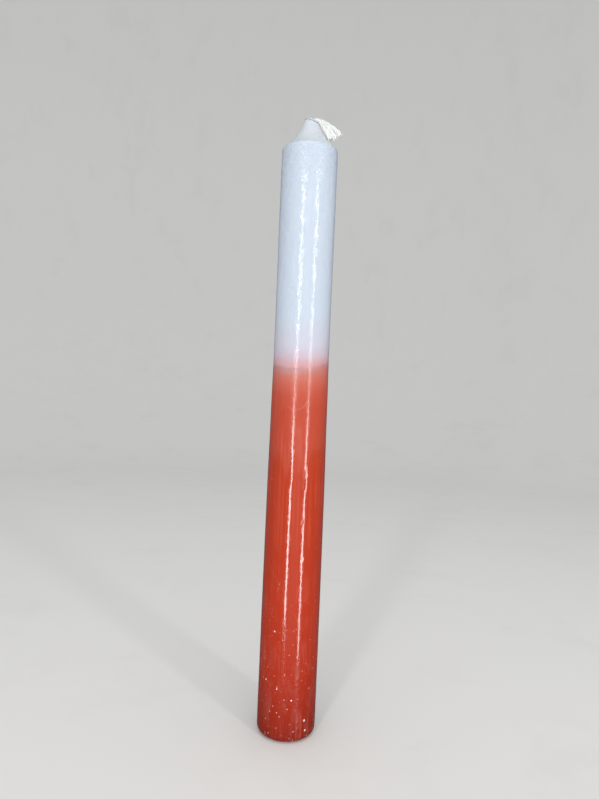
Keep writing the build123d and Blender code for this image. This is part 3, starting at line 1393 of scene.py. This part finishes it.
    def _primer(self, wax: bpy.types.Material) -> bpy.types.Object:
        """Builds the thin wax that binds the strands where they leave the neck."""
        runs = []
        for strand in Strand:
            line = self._route(strand)
            low = self.sizes.shoulder + 10.8 * MM
            start = next(i for i, point in enumerate(line) if point.z > low)
            stretch = [point for point in line[start:] if point.x < (2.9 * MM if point.z > low else 0)]
            count = len(stretch) - 1
            radii = [
                (0.56 - 0.14 * index / count + 0.05 * noise.noise(point / (0.6 * MM))) * MM
                for index, point in enumerate(stretch)
            ]
            runs.append((stretch, radii))
        mesh = self._tubes("primer", runs, 3)
        shape = bmesh.new()
        shape.from_mesh(mesh)
        bpy.data.meshes.remove(mesh)
        centre = Vector((0.05 * MM, 0.0, self.sizes.shoulder + 11.8 * MM))
        size = Matrix.Diagonal((2.5 * MM, 2.5 * MM, 1.25 * MM, 1.0))
        tilt = Matrix.Rotation(math.radians(20.0), 4, "Y")
        bmesh.ops.create_icosphere(
            shape, subdivisions=4, radius=1.0, matrix=Matrix.Translation(centre) @ tilt @ size
        )
        piece = link_shape("wax_on_wick", shape, wax)
        merge = piece.modifiers.new("merge", "REMESH")
        merge.mode = "VOXEL"
        merge.voxel_size = 0.09 * MM
        merge.use_smooth_shade = True
        soften = piece.modifiers.new("soften", "SMOOTH")
        soften.factor = 0.6
        soften.iterations = 7
        piece = link_mesh("wax_on_wick", evaluated_mesh(piece))
        depth = piece.data.attributes.new(DEPTH, "FLOAT", "POINT")
        depth.data.foreach_set("value", [DIP_COLOURS[0][0] * MM] * len(piece.data.vertices))
        piece.data.materials.clear()
        piece.data.materials.append(wax)
        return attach(piece, BODY)


# ---------------------------------------------------------------------------------------------
# Studio
# ---------------------------------------------------------------------------------------------
@dataclass(frozen=True)
class Light:
    """One upright rectangular light: its ends are given by angle from the camera's side and height."""

    name: str
    low: tuple[float, float]
    high: tuple[float, float]
    width: float
    power: float

    def build(self, distance: float) -> None:
        """Stands the light round the candle.

        Args:
            distance: How far it stands from the axis.
        """
        ends = []
        for angle, height in (self.low, self.high):
            turn = math.radians(angle)
            ends.append(Vector((math.sin(turn) * distance, -math.cos(turn) * distance, height)))
        along = ends[1] - ends[0]
        middle = (ends[0] + ends[1]) / 2
        data = bpy.data.lights.new(self.name, "AREA")
        data.shape = "RECTANGLE"
        data.size = self.width
        data.size_y = along.length
        data.energy = self.power
        light = bpy.data.objects.new(self.name, data)
        bpy.context.scene.collection.objects.link(light)
        up = along.normalized()
        back = Vector((middle.x, middle.y, 0.0))
        back = (back - up * back.dot(up)).normalized()
        turn = Matrix((up.cross(back), up, back)).transposed().to_4x4()
        light.matrix_world = Matrix.Translation(middle) @ turn
        light.visible_camera = False


@dataclass
class Studio:
    """Pale floor that curves up all round, soft light with two upright tubes, and the camera."""

    floor_radius: float = 0.8
    cove_radius: float = 0.9
    wall_height: float = 2.2
    camera_distance: float = 0.2375
    camera_height: float = 0.1303
    camera_roll: float = math.radians(2.44)
    lens: float = 27.03
    light_distance: float = 0.75
    lights: tuple["Light", ...] = (
        Light("tube_left", low=(-21.5, -0.23), high=(-17.5, 0.62), width=0.066, power=2.9),
        Light("tube_right", low=(35.0, -0.29), high=(40.0, 0.62), width=0.058, power=2.5),
        Light("panel_front", low=(7.0, -0.3), high=(10.0, 0.7), width=0.42, power=0.42),
    )
    top_light: tuple[float, float, float] = (0.0, -0.45, 1.1)
    top_width: float = 0.7
    top_power: float = 2.6
    sky: Colour = (0.93, 0.955, 1.0)
    sky_strength: float = 0.655
    sky_gloss: float = 0.1

    def build(self, board: bpy.types.Material) -> None:
        """Builds the floor, the lights, the sky and the camera.

        Args:
            board: The floor's material.
        """
        self._floor(board)
        for light in self.lights:
            light.build(self.light_distance)
        self._top_light()
        self._sky()
        self._camera()

    def _floor(self, board: bpy.types.Material) -> None:
        """Builds the floor and its cove as one turned sheet."""
        outline = Outline(0.0, 0.0)
        outline.line(self.floor_radius, 0.0, 0.05)
        outline.arc((self.floor_radius, self.cove_radius), math.pi / 2, 24)
        outline.line(self.floor_radius + self.cove_radius, self.wall_height, 0.2)
        shape = outline.spun(96)
        if next(iter(shape.faces)).normal.z < 0:
            bmesh.ops.reverse_faces(shape, faces=shape.faces)
        floor = link_shape("floor", shape, board)
        floor.visible_shadow = False
        floor.visible_diffuse = False
        floor.visible_glossy = False

    def _top_light(self) -> None:
        """Hangs one broad square light above and in front of the candle."""
        data = bpy.data.lights.new("top_light", "AREA")
        data.size = self.top_width
        data.energy = self.top_power
        light = bpy.data.objects.new("top_light", data)
        bpy.context.scene.collection.objects.link(light)
        place = Vector(self.top_light)
        light.matrix_world = Matrix.Translation(place) @ place.to_track_quat("Z", "Y").to_matrix().to_4x4()
        light.visible_camera = False
        light.visible_glossy = False

    def _sky(self) -> None:
        """Makes the even light that comes from all round."""
        world = bpy.data.worlds.new("soft_light")
        world.use_nodes = True
        world.node_tree.nodes.clear()
        tree = Tree(world.node_tree)
        gloss = tree.add("ShaderNodeLightPath").outputs["Is Glossy Ray"]
        dimmed = tree.times(gloss, self.sky_strength - self.sky_gloss)
        strength = tree.minus(self.sky_strength, dimmed)
        background = tree.add("ShaderNodeBackground", None, {"Color": (*self.sky, 1.0), "Strength": strength})
        tree.add("ShaderNodeOutputWorld", None, {0: background.outputs[0]})
        bpy.context.scene.world = world

    def _camera(self) -> None:
        """Sets the camera level, square to the candle, a little turned about its own axis."""
        data = bpy.data.cameras.new("camera")
        data.lens = self.lens
        data.clip_start = 0.01
        camera = bpy.data.objects.new("camera", data)
        bpy.context.scene.collection.objects.link(camera)
        place = Matrix.Translation((0.0, -self.camera_distance, self.camera_height))
        upright = Matrix.Rotation(math.pi / 2, 4, "X")
        roll = Matrix.Rotation(self.camera_roll, 4, "Z")
        camera.matrix_world = place @ upright @ roll
        bpy.context.scene.camera = camera
        bpy.context.scene.view_settings.view_transform = "Standard"


# ---------------------------------------------------------------------------------------------
# The whole candle
# ---------------------------------------------------------------------------------------------
def wax_finishes(effects: Effects, sizes: CandleSizes) -> dict[str, bpy.types.Material]:
    """Builds the candle's waxes.

    Args:
        effects: The shared shader groups.
        sizes: The candle's sizes.

    Returns:
        The materials by slot.
    """
    white = WaxFinish(
        name="white_paraffin",
        gloss_roughness=0.1,
        coat=0.0,
        glow=0.45,
        glow_reach=1.5 * MM,
        streak_tint=srgb(200, 207, 219),
        streak_share=0.4,
        scuff_tint=srgb(214, 219, 228),
        scuff_low=0.0,
        scuff_high=20 * MM,
        speck_tint=srgb(150, 160, 178),
        neck_height=sizes.shoulder,
        bump=0.006 * MM,
        grain=45.0,
        dapple=22.0,
        streak_rise=(148 * MM, 172 * MM),
    )
    thin = WaxFinish(
        name="thin_red_paraffin",
        gloss_roughness=0.12,
        coat=0.5,
        glow=0.3,
        glow_reach=0.8 * MM,
        streak_tint=srgb(214, 120, 108),
        streak_share=0.25,
        scuff_tint=srgb(222, 150, 140),
        scuff_low=0.0,
        scuff_high=30 * MM,
        speck_tint=srgb(120, 36, 24),
        neck_height=sizes.shoulder,
        bump=0.006 * MM,
    )
    thick = WaxFinish(
        name="red_paraffin",
        gloss_roughness=0.1,
        coat=0.6,
        glow=0.12,
        glow_reach=0.5 * MM,
        streak_tint=srgb(206, 96, 74),
        streak_share=0.25,
        scuff_tint=srgb(216, 146, 132),
        scuff_low=4 * MM,
        scuff_high=70 * MM,
        chips=tuple(
            (
                Vector((sizes.coat_radius * math.cos(side), sizes.coat_radius * math.sin(side), height * MM)),
                reach * MM,
            )
            for side, height, reach in (
                (-0.92, 8.3, 0.5),
                (-0.87, 4.4, 0.48),
                (-2.09, 42.0, 0.36),
                (-2.37, 22.9, 0.34),
                (-1.42, 16.7, 0.36),
                (-1.92, 20.6, 0.32),
            )
        ),
        speck_tint=srgb(228, 170, 160),
        neck_height=sizes.shoulder,
        bump=0.006 * MM,
    )
    return {
        "white_wax": white.build(effects),
        "thin_red_wax": thin.build(effects),
        "red_wax": thick.build(effects),
    }


def main() -> None:
    """Builds the candle and its studio."""
    logging.basicConfig(level=logging.INFO, format="%(name)s: %(message)s")
    sizes, surface, effects = CandleSizes.from_frame(), WaxSurface(), Effects()
    waxes = wax_finishes(effects, sizes)
    log.info("sizes: %s", sizes)

    stock = WaxStock(sizes, surface).build(waxes["white_wax"])
    log.info("%s has %d faces", stock.name, len(stock.data.polygons))

    first = DippedSkin(
        Dip.FIRST,
        sizes,
        surface,
        edge_wave=0.8 * MM,
        feather=9.0 * MM,
        edge_thickness=0.012 * MM,
        fine_from=98.0 * MM,
        material_slot="thin_red_wax",
        blemishes=(Blemish(angle=-88, height=127.0, width=0.8, length=2.0, depth=-0.02),),
    ).build(waxes["thin_red_wax"])
    log.info("%s has %d faces", first.name, len(first.data.polygons))

    second = DippedSkin(
        Dip.SECOND,
        sizes,
        surface,
        edge_wave=3.0 * MM,
        feather=30.0 * MM,
        edge_thickness=0.02 * MM,
        fine_from=90.0 * MM,
        material_slot="red_wax",
        blemishes=(
            Blemish(angle=-146, height=117.5, width=0.5, length=0.9, depth=0.14),
            Blemish(angle=-116, height=111.0, width=1.5, length=8.0, depth=-0.07),
            Blemish(angle=-70, height=108.0, width=1.3, length=7.0, depth=-0.07),
            Blemish(angle=-92, height=114.0, width=1.0, length=4.0, depth=-0.05),
            Blemish(angle=-97, height=34.0, width=0.8, length=14.0, depth=-0.05),
            Blemish(angle=-106, height=27.0, width=0.9, length=16.0, depth=0.04),
            Blemish(angle=-62, height=39.0, width=1.1, length=5.0, depth=0.06),
            Blemish(angle=-84, height=92.0, width=1.0, length=1.3, depth=-0.05),
            Blemish(angle=-86, height=76.0, width=1.3, length=1.3, depth=-0.06),
            Blemish(angle=-90, height=83.0, width=0.5, length=0.6, depth=-0.06),
            Blemish(angle=-74, height=84.0, width=0.5, length=1.0, depth=0.06),
            Blemish(angle=-72, height=70.0, width=0.7, length=1.6, depth=0.05),
            Blemish(angle=-102, height=100.0, width=0.5, length=2.6, depth=0.035),
            Blemish(angle=-58, height=6.0, width=0.5, length=0.6, depth=-0.18),
            Blemish(angle=-55, height=3.4, width=0.4, length=0.5, depth=-0.16),
            Blemish(angle=30, height=60.0, width=1.2, length=5.0, depth=-0.05),
            Blemish(angle=120, height=44.0, width=0.9, length=3.0, depth=0.06),
        ),
        tongues=((-110.0, 9.0, 8.5), (-74.0, 8.0, 10.0), (-140.0, 7.0, 3.0), (20.0, 12.0, 6.0), (110.0, 10.0, 7.0)),
        rim_roughness=0.32 * MM,
    ).build(waxes["red_wax"])
    log.info("%s has %d faces", second.name, len(second.data.polygons))

    for piece in Wick(sizes).build(CottonFinish().build(effects), waxes["white_wax"]):
        log.info("%s has %d faces", piece.name, len(piece.data.polygons))

    Studio().build(BoardFinish().build(effects))


if __name__ == "__main__":
    main()
